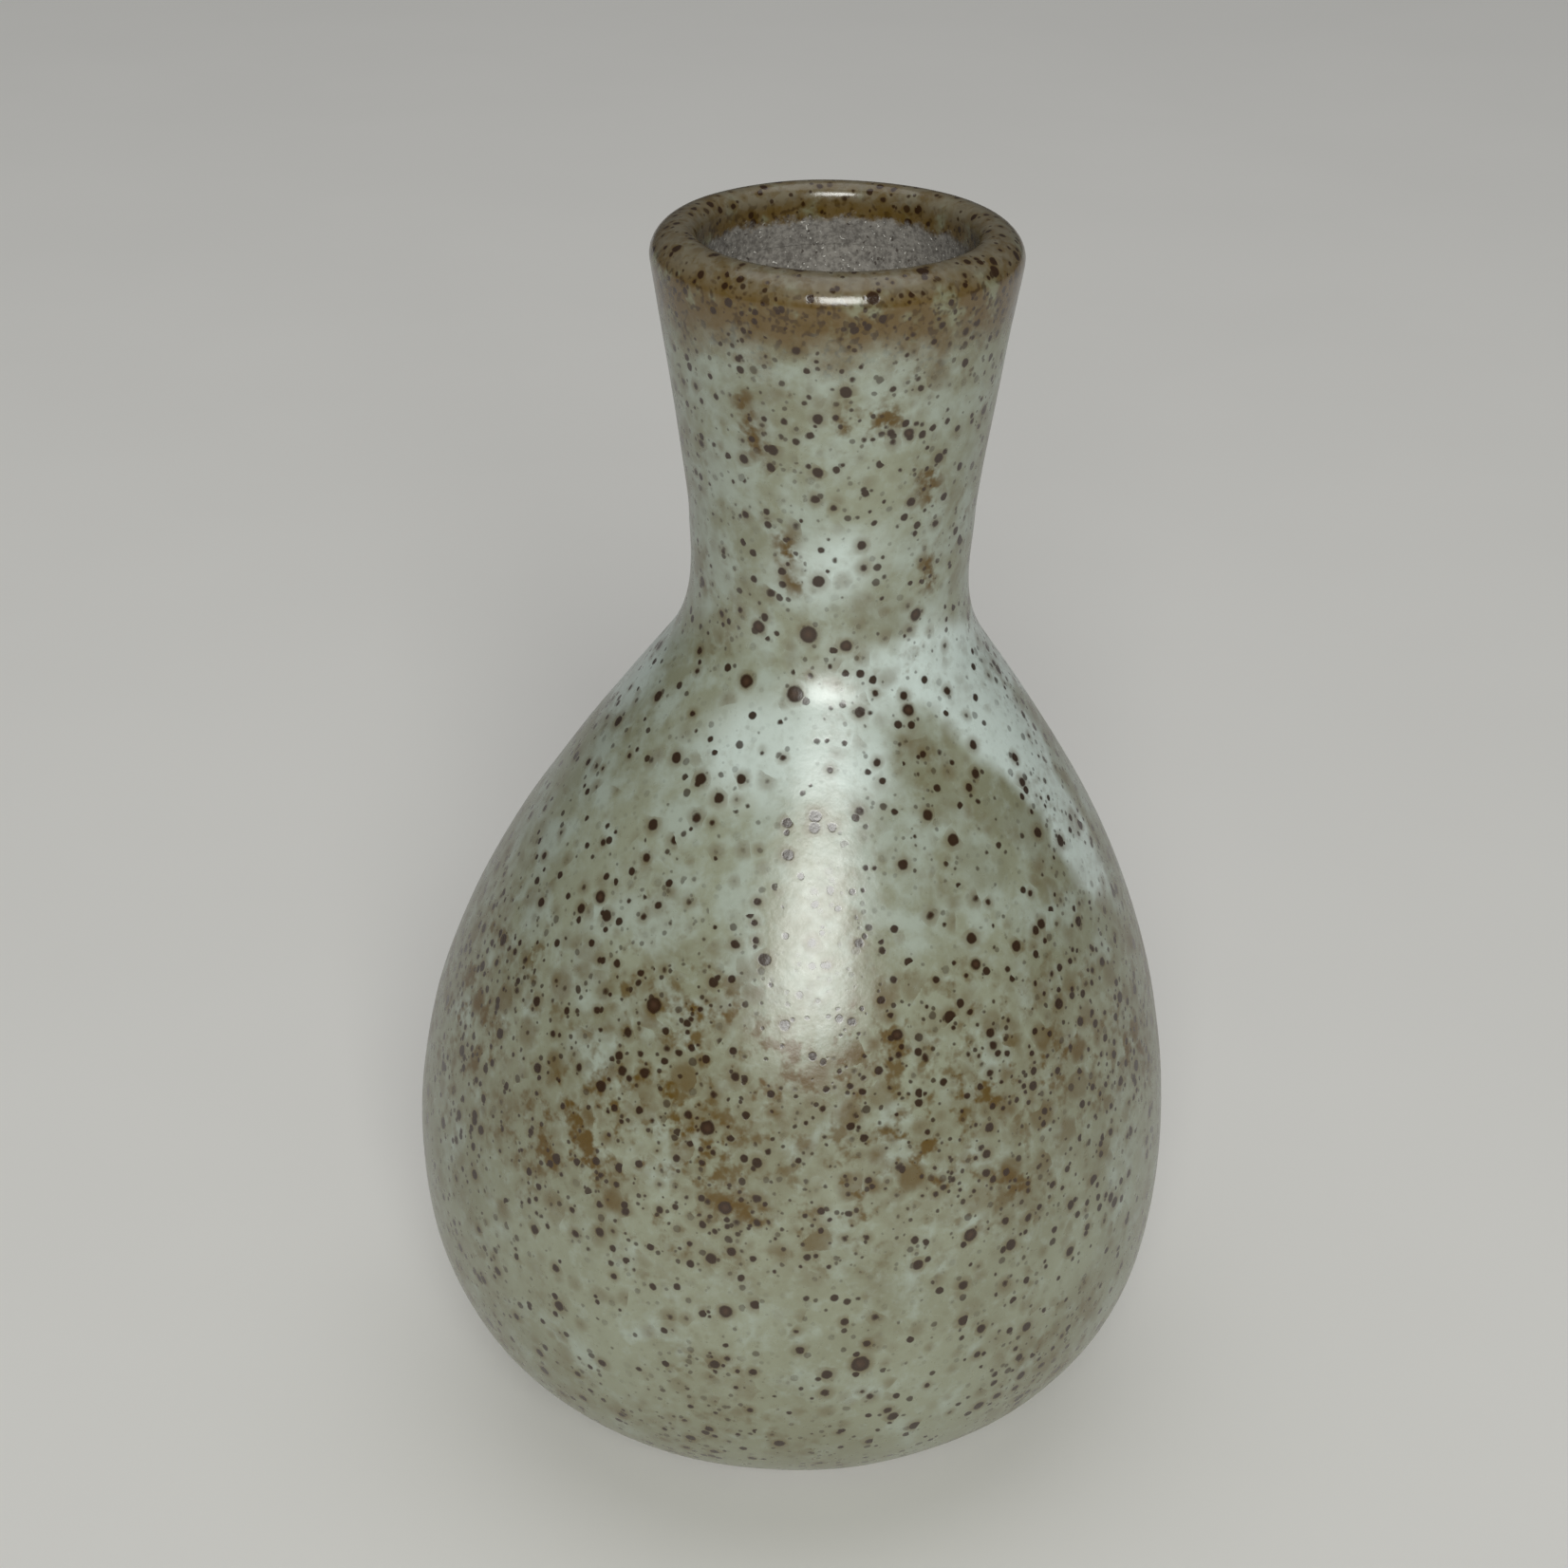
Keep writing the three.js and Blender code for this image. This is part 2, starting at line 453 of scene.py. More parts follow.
# Heights on the vase, in millimetres: where something starts and where it is full, or fades
RUST_BELT = (32.0, 42.0, 57.0, 70.0)
LIP_BREAK, LIP_WANDER = (118.5, 124.5), 9.0  # the height, raised by a wander of 0 to 9 mm
# heights over which the painted reflection greys the top of the lip
PAINTED_LIP_SHEEN = (121.6, 123.4)
THROAT_EDGE, THROAT_WANDER = (122.4, 123.4), 4.0
THROAT_END = (114.0, 115.0)

# Marks on the vase: angles in degrees, -90 facing front and 0 at +X, then heights and radii in mm
GLAZE_TONGUE = [
    ((-52, 86), (-35, 84), 2.4),
    ((-35, 84), (-21, 75), 4.0),
    ((-21, 75), (-18, 64), 2.5),
    ((-10, 84), (12, 80), 3.0),
]
PALE_SHOULDER = [
    ((-114, 80), (-94, 81), 1.4),
    ((-90, 83), (-82, 80), 1.5),
    ((-70, 86), (-50, 86), 1.2),
    ((-95, 96), (-88, 97), 0.4),
    ((145, 84), (175, 80), 3.0),
    ((60, 72), (95, 78), 3.5),
]
OLIVE_PATCHES = [
    ((-62, 80), (-58, 76), 0.9),
    ((-45, 75), (-33, 71), 1.3),
    ((-53, 71), (-50, 70), 0.5),
    ((-26, 68), (-24, 66), 0.5),
    ((-74, 91), (-66, 91), 0.6),
    ((130, 66), (150, 60), 2.5),
]
RUST_PATCHES = [
    ((-84, 111), (-72, 111), 0.5),
    ((-121, 112), (-118, 108), 0.1),
    ((-108, 99), (-104, 95), 0.0),
    ((-54, 105), (-51, 103), 0.3),
    ((-50, 96), (-46, 94), 0.2),
    ((-104, 50.5), (-101, 50.5), 0.4),
    ((-108, 60), (-103, 60), 0.3),
    ((-115, 54), (-110, 53), 0.5),
    ((-99, 44), (-94, 43), 0.3),
    ((-122, 46), (-119, 45), 0.2),
    ((-58, 44), (-54, 42), 0.4),
    ((40, 104), (55, 101), 0.6),
]
# The largest iron spots: angle, height, diameter
IRON_SPOTS = [
    (-119, 90, 1.2),
    (-98, 90, 1.6),
    (-83, 89, 1.1),
    (-120, 85, 1.3),
    (-101, 84.7, 1.5),
    (-53, 91, 1.2),
    (-61, 83, 1.1),
    (-64, 109.5, 1.0),
    (-135, 66, 1.2),
    (-116, 59.6, 1.5),
    (-103, 50.5, 1.4),
    (-74, 58.5, 1.1),
    (-58, 62.8, 1.0),
    (-99, 43.5, 1.3),
    (-98, 33, 1.3),
    (-63, 39, 1.3),
    (-79, 27, 1.8),
    (30, 48, 1.5),
    (95, 70, 1.4),
    (150, 35, 1.6),
]


def iron_spots(tree, place, outline, soft):
    """The largest spots, their paler hearts and the rings of rust round them."""
    spots, hearts, rings = [], [], []
    for angle, height, diameter in IRON_SPOTS:
        radius = diameter / 2
        distance = [place, outline.point(angle, height)]
        distance = add(tree, "VectorMath", distance, operation="DISTANCE")
        spots.append(add(tree, "MapRange", [distance, radius - soft, radius + soft, 1.0, 0.0], **SMOOTH))
        hearts.append(add(tree, "MapRange", [distance, 0.0, radius * 0.8, 1.0, 0.0], **SMOOTH))
        rings.append(add(tree, "MapRange", [distance, radius, radius * 1.9, 1.0, 0.0], **SMOOTH))
    return [chain(tree, "MAXIMUM", *found) for found in (spots, hearts, rings)]


def clay_layers(tree, place, colours):
    """Bare fired stoneware: grey and gritty, with sand that catches the light and dark iron grains."""
    grain = {"Vector": place, "Scale": 1 / 0.45, "Detail": 2.0, "Roughness": 0.6}
    grain = add(tree, "TexNoise", grain, **NOISE)
    tone = {"Vector": place, "W": 3.0, "Scale": 1 / 3.5, "Detail": 4.0, "Roughness": 0.6}
    tone = add(tree, "TexNoise", tone, **NOISE)
    tone = add(tree, "Math", [tone, 0.5, grain], operation="MULTIPLY_ADD")
    tone = add(tree, "MapRange", [tone, 0.55, 0.95, 0.0, 1.0], **SMOOTH)
    base = add(tree, "Mix", [tone, colours.shade, colours.body], **COLOUR)
    sand = {"Vector": place, "W": 6.0, "Scale": 1 / 0.33, "Detail": 1.0}
    sand = add(tree, "TexNoise", sand, **NOISE)
    sand = add(tree, "MapRange", [sand, 0.66, 0.74, 0.0, 1.0], **SMOOTH)
    dark = {"Vector": place, "W": 8.0, "Scale": 1 / 0.5, "Detail": 1.0}
    dark = add(tree, "TexNoise", dark, **NOISE)
    dark = add(tree, "MapRange", [dark, 0.66, 0.72, 0.0, 0.8], **SMOOTH)
    base = add(tree, "Mix", [chain(tree, "MULTIPLY", sand, 0.8), base, colours.sand], **COLOUR)
    base = add(tree, "Mix", [dark, base, colours.dark], **COLOUR)
    height = add(tree, "Math", [sand, 0.5, grain], operation="MULTIPLY_ADD")
    return base, chain(tree, "MULTIPLY", height, 0.1), sand


def stoneware_clay(colours):
    """Unglazed reduced stoneware, thrown and fired: matt and sandy, with grains that catch the light."""
    material, tree, shader, place = new_material("unglazed_stoneware")
    base, height, sand = clay_layers(tree, place, colours)
    tree.links.new(base, shader["Base Color"])
    roughness = add(tree, "Math", [sand, -0.5, 0.9], operation="MULTIPLY_ADD")
    tree.links.new(roughness, shader["Roughness"])
    shader["IOR"].default_value = 1.5
    bump = {"Height": height, "Strength": 1.0, "Distance": MM}
    tree.links.new(add(tree, "Bump", bump), shader["Normal"])
    return material


def glaze_ground(tree, place, height, outline, glaze):
    """The even glaze: celadon, duller where it is thin, milky where it pooled, and finely mottled, with
    painted light making it milkier towards the shoulder and painted shade making it olive towards the
    foot.
    """
    # painted light: the glaze turns milkier, so lighter, from the belly up to the shoulder
    painted_light_above = add(tree, "MapRange", [height, 40.0, 78.0, -0.05, 0.07], **SMOOTH)
    # painted shade: olive, so darker, towards the foot
    low = add(tree, "MapRange", [height, 6.0, 34.0, 0.3, 0.0], **SMOOTH)
    drift = {"Vector": place, "Scale": 1 / 13, "Detail": 3.0}
    drift = add(tree, "TexNoise", drift, **NOISE)
    drift = add(tree, "MapRange", [drift, 0.4, 0.62, 0.5, 0.0], **SMOOTH)
    base = add(tree, "Mix", [drift, glaze.celadon, glaze.olive], **COLOUR)
    swirled = stirred(tree, place, 6.0, 2.6, 0.0)
    milk = {"Vector": swirled, "W": 4.0, "Scale": 1 / 5, "Detail": 4.0, "Roughness": 0.6}
    milk = add(tree, "TexNoise", milk, **NOISE)
    milk = add(tree, "Math", [milk, painted_light_above], operation="ADD")
    milk = add(tree, "MapRange", [milk, 0.46, 0.68, 0.0, 0.7], **SMOOTH)
    base = add(tree, "Mix", [milk, base, glaze.milky], **COLOUR)
    pale = chain(tree, "MULTIPLY", marks(tree, swirled, outline, PALE_SHOULDER, 5.5), 0.75)
    dull = chain(tree, "MULTIPLY", marks(tree, swirled, outline, OLIVE_PATCHES, 2.6), 0.6)
    tongue = chain(tree, "MULTIPLY", marks(tree, swirled, outline, GLAZE_TONGUE, 2.0), 0.92)
    base = add(tree, "Mix", [pale, base, glaze.pooled], **COLOUR)
    base = add(tree, "Mix", [dull, base, glaze.olive], **COLOUR)
    base = add(tree, "Mix", [tongue, base, glaze.pooled], **COLOUR)
    mottle = {"Vector": place, "W": 2.0, "Scale": 1 / 1.3, "Detail": 3.0, "Roughness": 0.6}
    mottle = add(tree, "TexNoise", mottle, **NOISE)
    light = add(tree, "MapRange", [mottle, 0.5, 0.72, 0.0, 0.3], **SMOOTH)
    dark = add(tree, "MapRange", [mottle, 0.3, 0.5, 0.22, 0.0], **SMOOTH)
    base = add(tree, "Mix", [light, base, glaze.milky], **COLOUR)
    # the olive here carries the painted shade towards the foot as well as the dark mottle
    return add(tree, "Mix", [chain(tree, "MAXIMUM", dark, low), base, glaze.olive], **COLOUR)


def rust_places(tree, place, height, outline):
    """How much iron bled out here, most in a belt round the belly, and how much in the patches alone."""
    start = add(tree, "MapRange", [height, *RUST_BELT[:2], 0.0, 1.0], **SMOOTH)
    end = add(tree, "MapRange", [height, *RUST_BELT[2:], 1.0, 0.0], **SMOOTH)
    groups = {"Vector": place, "W": 9.0, "Scale": 1 / 12, "Detail": 2.0}
    groups = add(tree, "TexNoise", groups, **NOISE)
    groups = add(tree, "MapRange", [groups, 0.42, 0.6, 0.0, 1.0], **SMOOTH)
    uneven = add(tree, "Math", [groups, 0.4, 0.6], operation="MULTIPLY_ADD")
    placed = marks(tree, place, outline, RUST_PATCHES, 2.4)
    belt = chain(tree, "MULTIPLY", start, end, uneven)
    elsewhere = chain(tree, "MULTIPLY", groups, 0.45)
    return chain(tree, "MAXIMUM", belt, elsewhere, placed), placed


def rust_stains(tree, place, ragged, amount, placed):
    """Ochre blots a few millimetres wide and small ragged stains, where there is iron enough."""
    stirred_place = stirred(tree, place, 1.6, 0.7, 12.0)
    blots, _, tone = specks(tree, stirred_place, 3.0, 1.2, 3.0, 0.5, 0.5)
    tone = add(tree, "Math", [tone, 0.4, 0.6], operation="MULTIPLY_ADD")
    stains = {"Vector": ragged, "W": 10.0, "Scale": 1 / 1.8, "Detail": 3.0, "Roughness": 0.6}
    stains = add(tree, "TexNoise", stains, **NOISE)
    stains = add(tree, "Math", [amount, 0.1, stains], operation="MULTIPLY_ADD")
    stains = add(tree, "Math", [placed, 0.08, stains], operation="MULTIPLY_ADD")
    stains = add(tree, "MapRange", [stains, 0.57, 0.75, 0.0, 1.0], **SMOOTH)
    blots = chain(tree, "MULTIPLY", blots, tone)
    return chain(tree, "MULTIPLY", chain(tree, "MAXIMUM", blots, stains), amount)


def lip_colour(tree, place, ragged, height, glaze):
    """The glaze where it broke thin over the lip: brown, dotted with iron, pale where it stayed thick,
    and grey on top with a painted reflection of light grazing it.
    """
    patches = {"Vector": place, "W": 15.0, "Scale": 1 / 3, "Detail": 3.0, "Roughness": 0.6}
    patches = add(tree, "TexNoise", patches, **NOISE)
    patches = add(tree, "MapRange", [patches, 0.51, 0.68, 0.0, 0.8], **SMOOTH)
    base = add(tree, "Mix", [patches, glaze.lip_brown, glaze.lip_pale], **COLOUR)
    # painted reflection: the top of the lip greyed as if light grazed it
    top = add(tree, "MapRange", [height, *PAINTED_LIP_SHEEN, 0.0, 0.7], **SMOOTH)
    base = add(tree, "Mix", [top, base, glaze.lip_painted_sheen], **COLOUR)
    blots = {"Vector": ragged, "W": 17.0, "Scale": 1 / 1.5, "Detail": 3.0, "Roughness": 0.65}
    blots = add(tree, "TexNoise", blots, **NOISE)
    blots = add(tree, "MapRange", [blots, 0.5, 0.64, 0.0, 0.5], **SMOOTH)
    base = add(tree, "Mix", [blots, base, glaze.rust], **COLOUR)
    dots = {"Vector": ragged, "W": 19.0, "Scale": 1 / 0.65, "Detail": 1.0}
    dots = add(tree, "TexNoise", dots, **NOISE)
    dots = add(tree, "MapRange", [dots, 0.51, 0.64, 0.0, 0.75], **SMOOTH)
    # fewer dots where the painted reflection lies
    dots = chain(tree, "MULTIPLY", dots, add(tree, "Math", [0.9, top], operation="SUBTRACT"))
    return add(tree, "Mix", [dots, base, glaze.iron], **COLOUR)


def bare_throat(tree, place, height, outline):
    """1 where the coat thins out to bare clay, down inside the neck."""
    size = outline.size
    spoke = add(tree, "VectorMath", [place, (size["neck_offset"], 0, 0)], operation="SUBTRACT")
    spoke = add(tree, "VectorMath", [spoke, (1, 1, 0)], operation="MULTIPLY")
    radius = add(tree, "VectorMath", [spoke], operation="LENGTH")
    throat = size["lip_diameter"] / 2 - size["neck_wall"]
    inner = add(tree, "MapRange", [radius, throat + 0.6, throat + 1.0, 1.0, 0.0], **SMOOTH)
    edge = {"Vector": place, "W": 21.0, "Scale": 1 / 2, "Detail": 5.0, "Roughness": 0.7}
    edge = add(tree, "TexNoise", edge, **NOISE)
    edge = add(tree, "Math", [edge, THROAT_WANDER, height], operation="MULTIPLY_ADD")
    below = add(tree, "MapRange", [edge, *THROAT_EDGE, 1.0, 0.0], **SMOOTH)
    above = add(tree, "MapRange", [height, *THROAT_END, 0.0, 1.0], **SMOOTH)
    return chain(tree, "MULTIPLY", inner, below, above)


def celadon_glaze(glaze, clay, outline):
    """Satin celadon over speckled stoneware, dipped and fired in reduction: milky grey-green, with iron
    that bled up as specks and rust stains, breaking brown and glossy over the lip."""
    material, tree, shader, place = new_material("speckled_celadon_glaze")
    ragged = stirred(tree, place, 0.8, 0.16, 7.0)
    height = add(tree, "SeparateXYZ", [place], output=2)
    base = glaze_ground(tree, place, height, outline, glaze)
    amount, placed = rust_places(tree, ragged, height, outline)
    haze = {"Vector": place, "W": 11.0, "Scale": 1 / 4, "Detail": 3.0, "Roughness": 0.6}
    haze = add(tree, "TexNoise", haze, **NOISE)
    haze = add(tree, "MapRange", [haze, 0.42, 0.64, 0.0, 0.3], **SMOOTH)
    haze = chain(tree, "MULTIPLY", haze, add(tree, "Math", [amount, placed], operation="ADD"))
    base = add(tree, "Mix", [haze, base, glaze.rust], **COLOUR)
    stains = rust_stains(tree, place, ragged, amount, placed)
    base = add(tree, "Mix", [stains, base, glaze.rust], **COLOUR)

    edge = {"Vector": place, "W": 5.0, "Scale": 1 / 3.2, "Detail": 4.0, "Roughness": 0.6}
    edge = add(tree, "TexNoise", edge, **NOISE)
    edge = add(tree, "Math", [edge, LIP_WANDER, height], operation="MULTIPLY_ADD")
    lip = add(tree, "MapRange", [edge, *LIP_BREAK, 0.0, 1.0], **SMOOTH)
    base = add(tree, "Mix", [lip, base, lip_colour(tree, place, ragged, height, glaze)], **COLOUR)

    # Iron specks in three sizes, crowding where the rust and the lip are
    neck = add(tree, "MapRange", [height, 92.0, 112.0, 0.0, 0.4], **SMOOTH)
    crowd = chain(tree, "MAXIMUM", chain(tree, "MULTIPLY", amount, 0.8), lip, neck)
    small, _, _ = specks(tree, ragged, 0.95, 0.25, 0.5, 0.7, 0.07)
    strength = add(tree, "MapRange", [crowd, 0.05, 0.6, 0.15, 0.9], **SMOOTH)
    small = chain(tree, "MULTIPLY", small, strength)
    common, common_halo, tone = specks(tree, ragged, 1.2, 0.4, 0.8, 0.75, 0.08)
    tone = add(tree, "Math", [crowd, 0.6, tone], operation="MULTIPLY_ADD")
    strength = add(tree, "MapRange", [tone, 0.32, 0.8, 0.12, 1.0], **SMOOTH)
    common = chain(tree, "MULTIPLY", common, strength)
    middle, middle_halo, _ = specks(tree, ragged, 2.1, 0.6, 1.15, 0.52, 0.1)
    spots, hearts, rings = iron_spots(tree, ragged, outline, 0.12)
    core = chain(tree, "MAXIMUM", small, common, middle, spots)
    halo = chain(tree, "MAXIMUM", chain(tree, "MULTIPLY", common_halo, crowd), middle_halo, rings)
    base = add(tree, "Mix", [chain(tree, "MULTIPLY", halo, 0.5), base, glaze.rust], **COLOUR)
    base = add(tree, "Mix", [chain(tree, "MULTIPLY", core, 0.96), base, glaze.iron], **COLOUR)
    base = add(tree, "Mix", [chain(tree, "MULTIPLY", hearts, 0.4), base, glaze.iron_heart], **COLOUR)

    bare = bare_throat(tree, place, height, outline)
    clay_base, clay_height, _ = clay_layers(tree, place, clay)
    base = add(tree, "Mix", [bare, base, clay_base], **COLOUR)
    tree.links.new(base, shader["Base Color"])

    # Satin on the body, glossier on the lip and the iron
    satin = {"Vector": place, "W": 31.0, "Scale": 1 / 0.8, "Detail": 3.0, "Roughness": 0.6}
    satin = add(tree, "TexNoise", satin, **NOISE)
    satin = add(tree, "Math", [satin, 0.15, 0.22], operation="MULTIPLY_ADD")
    gloss = add(tree, "Math", [lip, -0.08, satin], operation="MULTIPLY_ADD")
    gloss = add(tree, "Math", [core, -0.08, gloss], operation="MULTIPLY_ADD")
    gloss = add(tree, "Mix", [bare, gloss, 0.88], data_type="FLOAT")
    tree.links.new(gloss, shader["Roughness"])
    shader["IOR"].default_value = 1.58

    # Heights in millimetres: orange peel, fine pitting, and each speck a shallow pit
    peel = {"Vector": place, "W": 41.0, "Scale": 1 / 3, "Detail": 1.0}
    peel = add(tree, "TexNoise", peel, **NOISE)
    pitting = {"Vector": place, "W": 42.0, "Scale": 1 / 0.45, "Detail": 2.0}
    pitting = add(tree, "TexNoise", pitting, **NOISE)
    pitting = chain(tree, "MULTIPLY", pitting, 0.014)
    skin = add(tree, "Math", [peel, 0.06, pitting], operation="MULTIPLY_ADD")
    skin = add(tree, "Math", [core, -0.007, skin], operation="MULTIPLY_ADD")
    skin = add(tree, "Mix", [bare, skin, clay_height], data_type="FLOAT")
    bump = {"Height": skin, "Strength": 1.0, "Distance": MM}
    tree.links.new(add(tree, "Bump", bump), shader["Normal"])
    return material


def floor_paper(studio):
    """Matt card: an even, pale studio floor, barely mottled."""
    material, tree, shader, place = new_material("matt_card")
    tone = {"Vector": place, "Scale": 1 / 60, "Detail": 3.0}
    tone = add(tree, "TexNoise", tone, **NOISE)
    tone = add(tree, "MapRange", [tone, 0.3, 0.7, 0.0, 0.05], **SMOOTH)
    base = add(tree, "Mix", [tone, studio.floor_colour, studio.floor_shade], **COLOUR)
    tree.links.new(base, shader["Base Color"])
    shader["Roughness"].default_value = 0.9
    return material


# ---------------------------------------------------------------------------
# Sections of the two pieces, in millimetres
# ---------------------------------------------------------------------------
FOOT_TAPER, THROAT_TAPER = 0.9, 3.0  # the coat thins out over these lengths, at its two ends
FEATHER = 0.98  # share of its thickness that the coat loses there
BACK_STEP = 12  # the coat's back is out of sight, and keeps one ring in this many
CLAY_SPACING = 0.7
FOOT_ROUND = 0.45  # soft edge round the foot
RECESS_ROUND = 2.4  # the recess rises from the ring over this width
FLOOR_RISE = 1.2  # how much higher the floor is at the wall
FLOOR_DISH = 0.35  # and how much of that it has risen part of the way out


def glaze_section(outline):
    """The coat's closed section: its face, rolled thin at both ends, then its back."""
    s = outline.size
    outside = outline.outside[outline.outside[:, 1] > s["glaze_line"]]
    throat = outline.inside[outline.inside[:, 1] > s["height"] - s["throat_glaze"]]
    face = respaced(np.vstack([outside, outline.lip[1:], throat]), RING_SPACING)
    along = np.concatenate([[0], np.cumsum(np.hypot(*np.diff(face, axis=0).T))])
    at_foot = 1 - np.clip(along / FOOT_TAPER, 0, 1)
    in_throat = 1 - np.clip((along[-1] - along) / THROAT_TAPER, 0, 1)
    inset = s["glaze_thickness"] * FEATHER * (1 - np.sqrt(1 - at_foot**2) + in_throat)
    face_normals = normals(face)
    front = face - face_normals * inset[:, None]
    back = (face - face_normals * s["glaze_thickness"])[::-1]
    keep = np.unique(np.concatenate([[0], np.arange(0, len(back), BACK_STEP), [len(back) - 1]]))
    return front, back[keep]


def clay_section(outline):
    """The clay's closed section, from the middle of the foot's recess out, up, over and down inside."""
    s = outline.size
    t = s["glaze_thickness"]
    outer = outline.outside - normals(outline.outside) * t
    outer = outer[outer[:, 1] > FOOT_ROUND]
    ring = outer[0][0] - FOOT_ROUND
    lip = outline.lip - normals(outline.lip) * t
    inner = outline.inside - normals(outline.inside) * t
    inner = inner[inner[:, 1] > s["floor_thickness"] + FLOOR_RISE]
    recess = ring - s["foot_ring_width"]
    under = np.array(
        [
            [0, s["foot_recess"]],
            [recess - RECESS_ROUND, s["foot_recess"]],
            [recess - RECESS_ROUND / 2, s["foot_recess"] * 0.8],
            [recess, 0.0],
            [ring, 0.0],
        ]
    )
    dish = [inner[-1][0] * 0.6, s["floor_thickness"] + FLOOR_DISH]
    floor = np.array([dish, [0, s["floor_thickness"]]])
    wall = np.vstack([outer, lip[1:-1], inner])
    return under, respaced(wall, CLAY_SPACING), floor


# ---------------------------------------------------------------------------
# Operators, one for each piece
# ---------------------------------------------------------------------------
class VASE_OT_glaze_coat(bpy.types.Operator):
    """Builds the glaze coat with its speckled celadon material"""

    bl_idname = "vase.glaze_coat"
    bl_label = "Glaze coat"

    def execute(self, context):
        outline = Outline(context.scene.vase_shape)
        front, back = glaze_section(outline)
        section = np.vstack([front, back])
        wave = thrown_wave(outline.size["thrown_wave"])
        piece = turned_mesh("glazed_skin", section, outline, GLAZE_SEGMENTS, displace=wave)
        material = celadon_glaze(context.scene.vase_glaze, context.scene.vase_clay, outline)
        piece.data.materials.append(material)
        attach(piece, "root")
        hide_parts("glaze_coat")
        return {"FINISHED"}


class VASE_OT_clay_body(bpy.types.Operator):
    """Builds the thrown clay body with its bare stoneware material"""

    bl_idname = "vase.clay_body"
    bl_label = "Clay body"

    def execute(self, context):
        outline = Outline(context.scene.vase_shape)
        section = np.vstack(clay_section(outline))
        piece = turned_mesh("thrown_clay", section, outline, CLAY_SEGMENTS, closed=False)
        piece.data.materials.append(stoneware_clay(context.scene.vase_clay))
        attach(piece, "root")
        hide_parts("clay_body")
        return {"FINISHED"}


# ---------------------------------------------------------------------------
# Studio, in metres and degrees
# ---------------------------------------------------------------------------
SENSOR_WIDTH = 36  # mm
FLOOR_RADIUS = 1.1
KEY_SIZE, KEY_DISTANCE, KEY_AZIMUTH, KEY_ELEVATION, KEY_SPREAD = (1.0, 0.85), 2.2, 3, 30.5, 120
KEY_TINT, AIR_TINT = (0.98, 1.0, 0.97), (0.95, 0.97, 1.0, 1)
OVERHEAD_SIZE, OVERHEAD_HEIGHT, OVERHEAD_BACK = 3.0, 2.6, 0.3
FILL, BACKDROP = 0.07, 0.55  # the world's strength as light, and as seen


def area_light(name, shape, size, watts, location, target, colour=(1, 1, 1)):
    data = bpy.data.lights.new(name, "AREA")
    data.shape = shape
    data.size, data.size_y = size
    data.energy = watts
    data.color = colour
    light = bpy.data.objects.new(name, data)
    bpy.context.scene.collection.objects.link(light)
    light.location = location
    light.rotation_euler = (Vector(target) - Vector(location)).to_track_quat("-Z", "Y").to_euler()
    return light


def around(target, azimuth, elevation, distance):
    """A place seen from target: azimuth 0 is in front, at -Y, and it grows towards +X."""
    return Vector(target) + distance * Vector(
        (
            math.sin(azimuth) * math.cos(elevation),
            -math.cos(azimuth) * math.cos(elevation),
            math.sin(elevation),
        )
    )


def build_camera(studio):
    """Looks at a point near the vase's middle, from the side that faces front and a little above."""
    target = Vector((studio.aim_side, 0, studio.aim_height))
    back = around((0, 0, 0), studio.view_azimuth, studio.view_elevation, 1)
    right = Vector((0, 0, 1)).cross(back).normalized()
    up = back.cross(right)
    tilt = Matrix.Rotation(studio.view_roll, 3, back)
    right, up = tilt @ right, tilt @ up
    data = bpy.data.cameras.new("camera")
    data.lens = studio.focal_length
    data.sensor_width = SENSOR_WIDTH
    data.clip_start, data.clip_end = 0.01, 20
    camera = bpy.data.objects.new("camera", data)
    bpy.context.scene.collection.objects.link(camera)
    axes = Matrix((right, up, back)).transposed().to_4x4()
    camera.matrix_world = Matrix.Translation(target + back * studio.view_distance) @ axes
    bpy.context.scene.camera = camera


def build_floor(studio):
    """A round table top, wide enough to fill the view from a little above."""
    mesh = bpy.data.meshes.new("floor")
    shape = bmesh.new()
    bmesh.ops.create_circle(shape, cap_ends=True, segments=96, radius=FLOOR_RADIUS)
    shape.to_mesh(mesh)
    shape.free()
    floor = bpy.data.objects.new("floor", mesh)
    bpy.context.scene.collection.objects.link(floor)
    floor.location.z = CAD_BOX[0].z
    mesh.materials.append(floor_paper(studio))


def build_lights(studio):
    """A soft box just over the camera, and a wide light overhead that fills the sides and back."""
    middle = (CAD_BOX[0] + CAD_BOX[1]) / 2
    place = around(middle, math.radians(KEY_AZIMUTH), math.radians(KEY_ELEVATION), KEY_DISTANCE)
    key = area_light("key", "RECTANGLE", KEY_SIZE, studio.key_power, place, middle, KEY_TINT)
    key.data.spread = math.radians(KEY_SPREAD)
    over, under = (0, OVERHEAD_BACK, OVERHEAD_HEIGHT), (0, OVERHEAD_BACK, 0)
    area_light("overhead", "DISK", (OVERHEAD_SIZE,) * 2, studio.overhead_power, over, under)


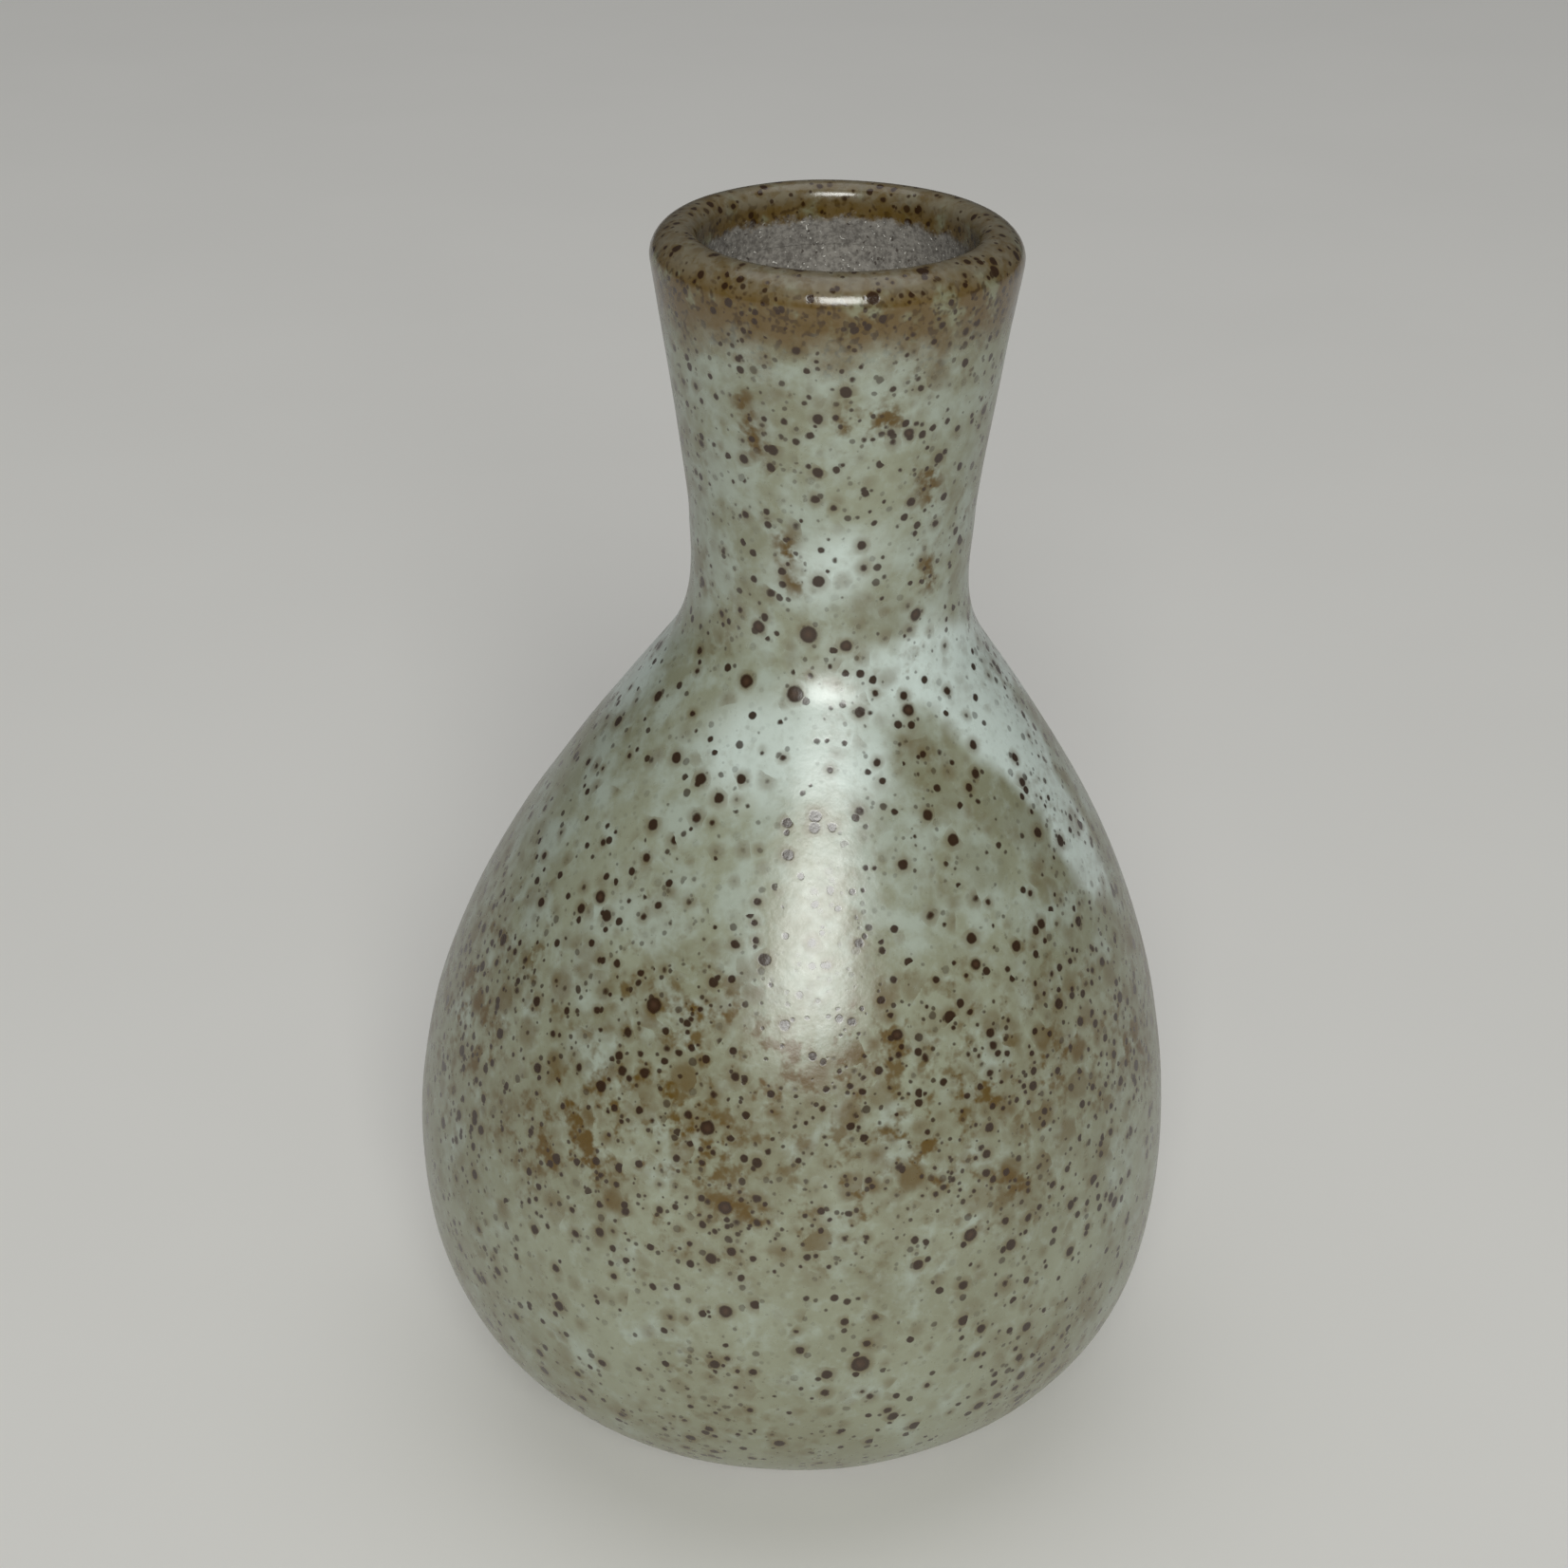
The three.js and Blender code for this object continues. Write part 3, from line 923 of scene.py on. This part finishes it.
def studio_air():
    """The world: a faint even fill, seen as a pale backdrop past the floor."""
    world = bpy.data.worlds.new("studio")
    world.use_nodes = True
    tree = world.node_tree
    seen = add(tree, "LightPath")
    strength = add(tree, "Mix", [seen, FILL, BACKDROP], data_type="FLOAT")
    background = tree.nodes["Background"].inputs
    background["Color"].default_value = AIR_TINT
    tree.links.new(strength, background["Strength"])
    return world


class VASE_OT_studio(bpy.types.Operator):
    """Builds the floor, the soft lights and the camera"""

    bl_idname = "vase.studio"
    bl_label = "Studio"

    def execute(self, context):
        studio = context.scene.vase_studio
        build_camera(studio)
        build_floor(studio)
        build_lights(studio)
        context.scene.world = studio_air()
        context.scene.view_settings.view_transform = "Standard"
        return {"FINISHED"}


# ---------------------------------------------------------------------------
# Panel and registration
# ---------------------------------------------------------------------------
class VASE_PT_panel(bpy.types.Panel):
    """Lists the vase's pieces and settings"""

    bl_idname = "VASE_PT_panel"
    bl_label = "Bud vase"
    bl_space_type = "VIEW_3D"
    bl_region_type = "UI"
    bl_category = "Bud vase"

    def draw(self, context):
        for operator in OPERATORS:
            self.layout.operator(operator.bl_idname)
        for group in GROUPS:
            settings = getattr(context.scene, group)
            box = self.layout.box()
            for key in settings.bl_rna.properties.keys():
                if key not in NOT_SETTINGS:
                    box.prop(settings, key)


GROUPS = {
    "vase_shape": VaseShapeSettings,
    "vase_glaze": GlazeSettings,
    "vase_clay": ClaySettings,
    "vase_studio": StudioSettings,
}
OPERATORS = (VASE_OT_studio, VASE_OT_clay_body, VASE_OT_glaze_coat)


def register():
    for cls in (*GROUPS.values(), *OPERATORS, VASE_PT_panel):
        bpy.utils.register_class(cls)
    for name, cls in GROUPS.items():
        setattr(bpy.types.Scene, name, bpy.props.PointerProperty(type=cls))


def unregister():
    for name in GROUPS:
        delattr(bpy.types.Scene, name)
    for cls in reversed((*GROUPS.values(), *OPERATORS, VASE_PT_panel)):
        bpy.utils.unregister_class(cls)


def main():
    register()
    bpy.ops.vase.studio()
    bpy.ops.vase.clay_body()
    bpy.ops.vase.glaze_coat()


if __name__ == "__main__":
    main()
